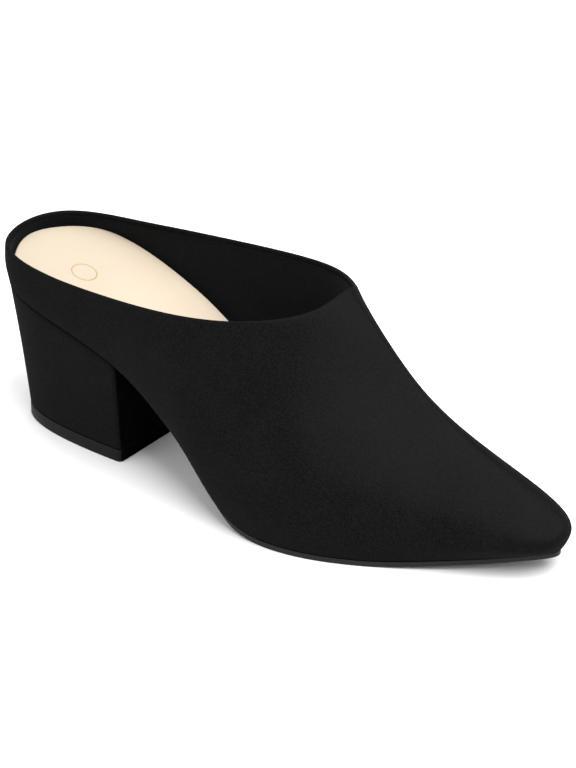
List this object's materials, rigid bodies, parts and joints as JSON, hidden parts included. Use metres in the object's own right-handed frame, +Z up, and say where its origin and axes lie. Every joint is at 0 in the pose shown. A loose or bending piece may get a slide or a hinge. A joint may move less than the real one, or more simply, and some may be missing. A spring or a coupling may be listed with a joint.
{
  "type": "mule shoe",
  "caption": "Pointed-toe mule shoe for the right foot on a block heel, with a closed low collar, a lined hollow upper, an insole, a thin rubber outsole and a heel tip.",
  "frame": {"origin": "centre of the bounding box seen from above, on the ground the shoe stands on", "axes": "+X towards the toe, +Y towards the inner side of the foot, +Z up"},
  "size_m": [0.2534, 0.0825, 0.0959],
  "materials": {
    "upper": "matte black microsuede",
    "insole": "smooth cream sock",
    "outsole": "matte black",
    "heel": "matte black microsuede",
    "top_piece": "satin black"
  },
  "bodies": {
    "root": {"upper": "upper", "insole": "insole", "outsole": "outsole", "heel": "heel", "top_piece": "top_piece"}
  },
  "joints": []
}
